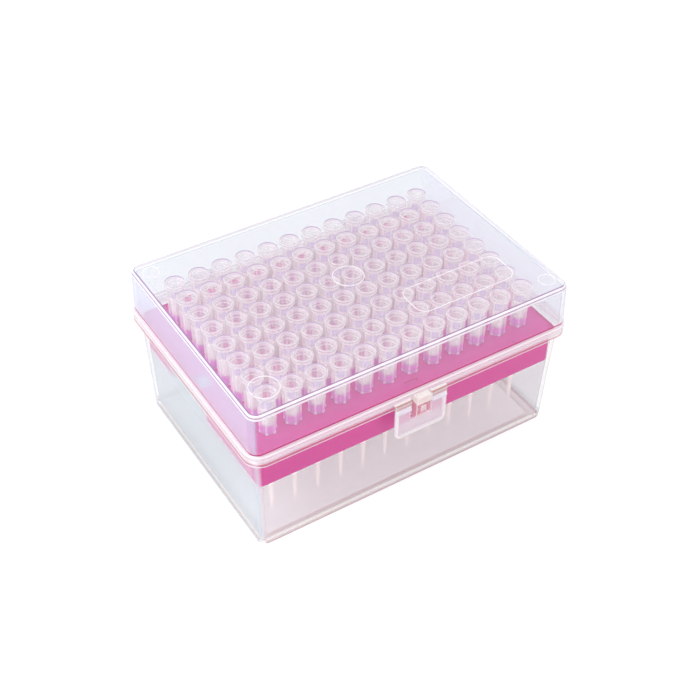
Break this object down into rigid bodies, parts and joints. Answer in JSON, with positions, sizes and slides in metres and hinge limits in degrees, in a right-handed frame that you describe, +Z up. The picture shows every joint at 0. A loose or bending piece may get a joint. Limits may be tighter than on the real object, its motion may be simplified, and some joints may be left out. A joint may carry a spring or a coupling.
{
  "type": "pipette tip box",
  "caption": "Hinged clear plastic box with a front latch flap, holding a rack of slim ribbed pipette tips with filters, in even rows.",
  "frame": {"origin": "bottom centre of the shut box's bounding box, catch block and hinge included", "axes": "+X along the long side, to the right seen from the latch; -Y towards the latch; +Z up"},
  "size_m": [0.125, 0.0984, 0.0622],
  "materials": {
    "tub_plastic": "translucent, smooth",
    "rack_plastic": "satin",
    "tip_plastic": "translucent, smooth",
    "filter_plastic": "porous, matte",
    "lid_plastic": "clear, glossy",
    "flap_plastic": "translucent, glossy"
  },
  "bodies": {
    "base_body": {"base": "tub_plastic", "rack": "rack_plastic", "tips_column_1": "tip_plastic", "tips_column_2": "tip_plastic", "tips_column_3": "tip_plastic", "tips_column_4": "tip_plastic", "tips_column_5": "tip_plastic", "tips_column_6": "tip_plastic", "tips_column_7": "tip_plastic", "tips_column_8": "tip_plastic", "tips_column_9": "tip_plastic", "tips_column_10": "tip_plastic", "tips_column_11": "tip_plastic", "tips_column_12": "tip_plastic", "filters_column_1": "filter_plastic", "filters_column_2": "filter_plastic", "filters_column_3": "filter_plastic", "filters_column_4": "filter_plastic", "filters_column_5": "filter_plastic", "filters_column_6": "filter_plastic", "filters_column_7": "filter_plastic", "filters_column_8": "filter_plastic", "filters_column_9": "filter_plastic", "filters_column_10": "filter_plastic", "filters_column_11": "filter_plastic", "filters_column_12": "filter_plastic"},
    "lid_body": {"lid": "lid_plastic"},
    "latch_body": {"latch_flap": "flap_plastic"}
  },
  "joints": [
    {"name": "lid_hinge", "type": "hinge", "parent": "base_body", "child": "lid_body", "pos_m": [0, 0.04561, 0.0426], "axis": [-1, 0, 0], "range_deg": [0, 115]},
    {"name": "latch_hinge", "type": "hinge", "parent": "lid_body", "child": "latch_body", "pos_m": [-0.0005, -0.04649, 0.0437], "axis": [-1, 0, 0], "range_deg": [0, 100]}
  ]
}
